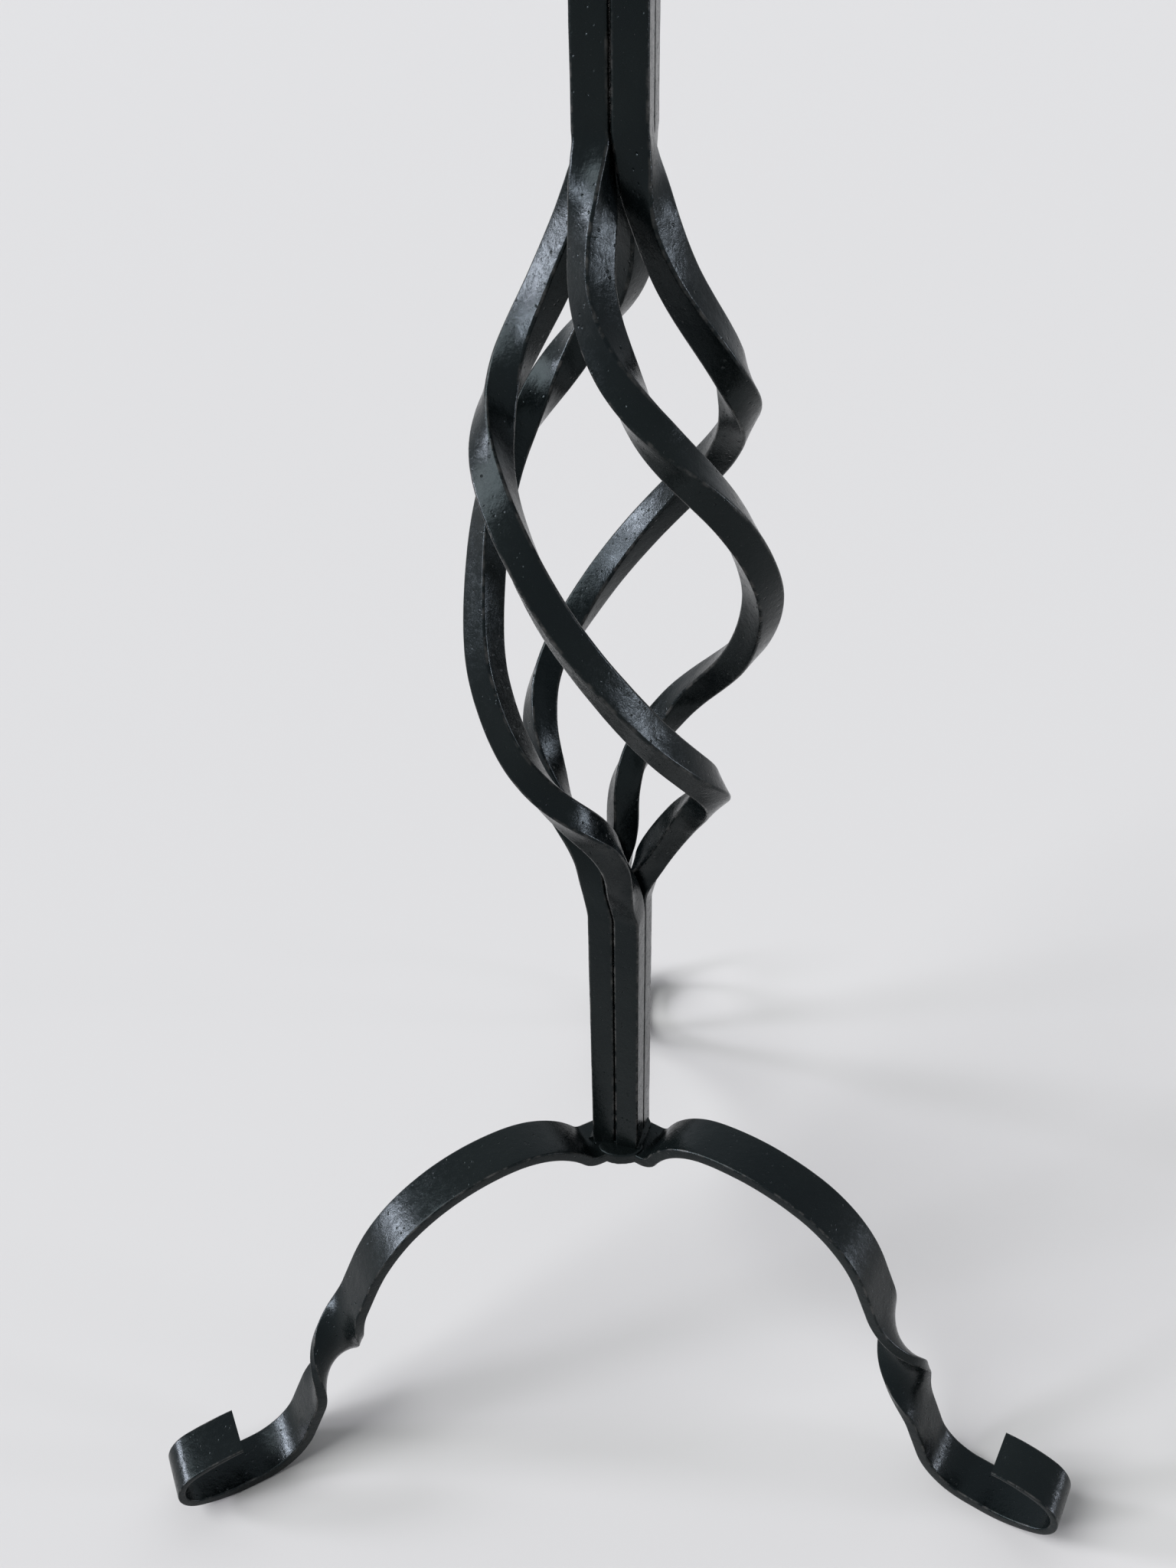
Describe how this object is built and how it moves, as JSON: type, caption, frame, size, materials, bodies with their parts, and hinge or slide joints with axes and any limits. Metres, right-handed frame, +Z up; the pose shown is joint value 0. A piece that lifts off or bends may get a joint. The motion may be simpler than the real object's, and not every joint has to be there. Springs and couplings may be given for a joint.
{
  "type": "spiral candle holder",
  "caption": "Wrought-iron candle holder with a twisted open basket of square bars on a tripod of bent flat strip with scrolled feet.",
  "frame": {"origin": "on the stem's axis, at the level of the table the feet stand on", "axes": "+Z up along the stem, -Y towards the picture's viewer, +X to the picture's right"},
  "size_m": [0.3792, 0.3379, 0.6365],
  "materials": {
    "black_iron": "satin",
    "steel_screw": "satin"
  },
  "bodies": {
    "root": {"bar_front_left": "black_iron", "bar_front_right": "black_iron", "bar_back_left": "black_iron", "bar_back_right": "black_iron", "leg_left": "black_iron", "leg_right": "black_iron", "leg_rear": "black_iron", "hub_weld": "black_iron", "stem_weld": "black_iron", "cap_weld": "black_iron", "stem_cap": "black_iron", "drip_pan": "black_iron", "candle_cup": "black_iron", "cup_screw": "steel_screw"}
  },
  "joints": []
}
